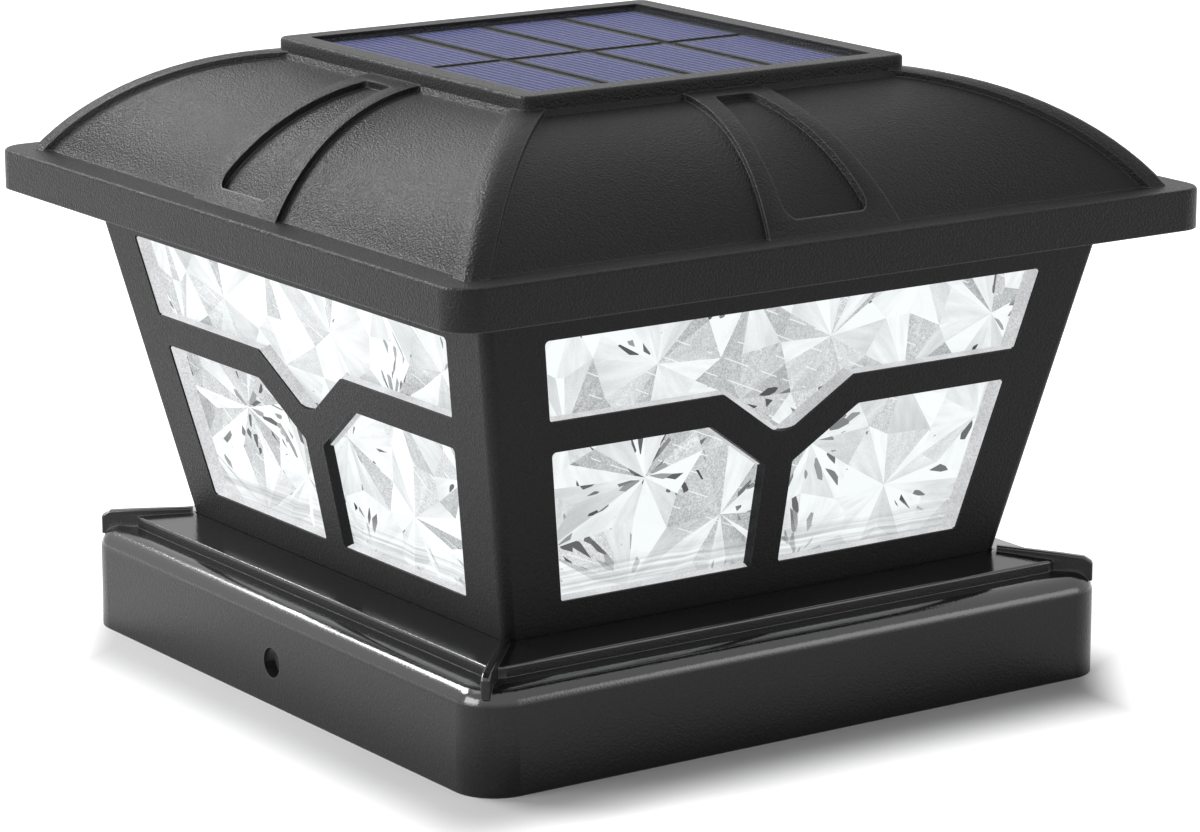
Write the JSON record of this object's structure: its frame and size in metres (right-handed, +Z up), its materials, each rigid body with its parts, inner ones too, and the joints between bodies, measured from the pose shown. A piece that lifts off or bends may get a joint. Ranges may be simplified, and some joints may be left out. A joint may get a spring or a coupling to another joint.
{
  "type": "solar post cap light",
  "caption": "Square solar light that caps a deck post: black base and lantern with crystal-cut windows, curved roof with solar panel.",
  "frame": {"origin": "centre of the base at its bottom edge, on the post's axis", "axes": "+Z up along the post, +X and +Y square to the faces; the battery cover slides open towards -Y"},
  "size_m": [0.1748, 0.1748, 0.1239],
  "materials": {
    "housing_black": "moulded, fine grain, satin",
    "crystal_clear": "clear moulded plastic with crystal-cut relief",
    "reflector_white": "matt white",
    "seal_rubber": "matt",
    "screw_steel": "zinc plated",
    "panel_backing": "laminate, satin",
    "panel_cover": "polished",
    "silicon_blue": "printed silicon with fine silver lines",
    "lead_red": "satin",
    "lead_black": "satin",
    "engine_white": "moulded, satin",
    "board_white": "solder mask",
    "board_green": "solder mask",
    "chip_black": "moulded",
    "ferrite_grey": "ceramic",
    "capacitor_can": "satin",
    "led_package": "glossy",
    "battery_wrap": "shrink sleeve",
    "contact_nickel": "nickel plated",
    "cover_black": "moulded, fine grain, satin",
    "button_black": "matt"
  },
  "bodies": {
    "lamp": {"base_collar": "housing_black", "base_gasket": "seal_rubber", "base_screws": "screw_steel", "floor_reflector": "reflector_white", "lantern_frame": "housing_black", "diffuser_front": "crystal_clear", "diffuser_right": "crystal_clear", "diffuser_back": "crystal_clear", "diffuser_left": "crystal_clear", "frame_screws": "screw_steel", "roof_cap": "housing_black", "roof_soffit": "housing_black", "roof_screws": "screw_steel", "roof_reflector": "reflector_white", "reflector_screws": "screw_steel", "solar_backing": "panel_backing", "solar_cover": "panel_cover", "solar_gasket": "seal_rubber", "solar_lead_red": "lead_red", "solar_lead_black": "lead_black", "engine_housing": "engine_white", "housing_screws": "screw_steel", "led_board": "board_white", "led_board_screws": "screw_steel", "board_pins": "contact_nickel", "control_board": "board_green", "board_screws": "screw_steel", "driver_chip": "chip_black", "boost_inductor": "ferrite_grey", "storage_capacitor": "capacitor_can", "switch_body": "chip_black", "battery_cell": "battery_wrap", "contact_positive": "contact_nickel", "contact_negative": "contact_nickel", "solar_cell_1": "silicon_blue", "solar_cell_2": "silicon_blue", "solar_cell_3": "silicon_blue", "solar_cell_4": "silicon_blue", "solar_cell_5": "silicon_blue", "solar_cell_6": "silicon_blue", "solar_cell_7": "silicon_blue", "solar_cell_8": "silicon_blue", "led_1": "led_package", "led_2": "led_package", "led_3": "led_package", "led_4": "led_package"},
    "battery_cover": {"battery_cover": "cover_black"},
    "power_button": {"power_button": "button_black"}
  },
  "joints": [
    {"name": "battery_cover_slide", "type": "slide", "parent": "lamp", "child": "battery_cover", "axis": [0, -1, 0], "range_m": [0, 0.025]},
    {"name": "power_button_press", "type": "slide", "parent": "lamp", "child": "power_button", "axis": [0, 0, 1], "range_m": [0, 0.0012], "stiffness_N_per_m": 400}
  ]
}
